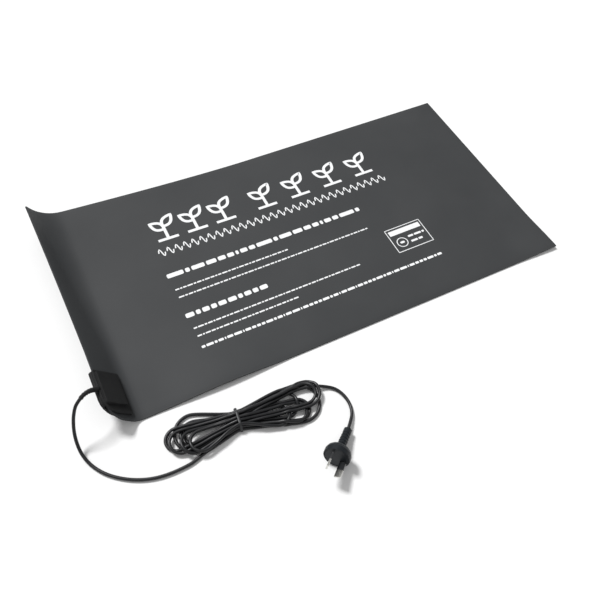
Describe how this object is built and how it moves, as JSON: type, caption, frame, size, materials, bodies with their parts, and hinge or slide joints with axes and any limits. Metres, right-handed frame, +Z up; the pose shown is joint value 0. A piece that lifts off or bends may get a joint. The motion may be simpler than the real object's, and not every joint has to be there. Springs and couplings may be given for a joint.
{
  "type": "seedling heat mat",
  "caption": "Thin flexible film heating mat for seed trays, with a junction box, cord and two-pin plug.",
  "frame": {"origin": "middle of the mat's flat underside", "axes": "+X along the mat, away from the end with the junction box; +Y across it; +Z up"},
  "size_m": [0.5472, 0.3996, 0.0419],
  "materials": {
    "cover_vinyl": "fine matte texture",
    "print_white": "screen-printed ink",
    "edge_seal": "matte",
    "heater_film": "clear amber film",
    "carbon_ink": "matte",
    "copper": "bright foil",
    "junction_plastic": "satin moulded",
    "screw_steel": "plated",
    "terminal_brass": "bright",
    "fuse_case": "tinned",
    "core_blue": "smooth",
    "core_brown": "smooth",
    "cord_sheath": "satin",
    "tie_plastic": "satin",
    "plug_plastic": "satin moulded",
    "pin_metal": "nickel plated"
  },
  "bodies": {
    "root": {"top_cover": "cover_vinyl", "bottom_cover": "cover_vinyl", "edge_seal": "edge_seal", "lower_film": "heater_film", "upper_film": "heater_film", "carbon_heating_grid": "carbon_ink", "near_busbar": "copper", "far_busbar": "copper", "junction_upper_shell": "junction_plastic", "junction_lower_shell": "junction_plastic", "junction_strain_relief": "junction_plastic", "junction_screw_1": "screw_steel", "junction_screw_2": "screw_steel", "junction_screw_3": "screw_steel", "junction_screw_4": "screw_steel", "near_terminal_clip": "terminal_brass", "far_terminal_clip": "terminal_brass", "thermal_fuse": "fuse_case", "neutral_core": "core_blue", "live_core": "core_brown", "fuse_lead": "core_brown", "supply_cord_lead": "cord_sheath", "supply_cord_hank": "cord_sheath", "supply_cord_tail": "cord_sheath", "hank_tie": "tie_plastic", "plug_body": "plug_plastic", "plug_pin_bridge": "plug_plastic", "plug_strain_relief": "plug_plastic", "pin_live": "pin_metal", "pin_neutral": "pin_metal", "pin_live_sleeve": "plug_plastic", "pin_neutral_sleeve": "plug_plastic", "plug_live_core": "core_brown", "plug_neutral_core": "core_blue"}
  },
  "joints": []
}
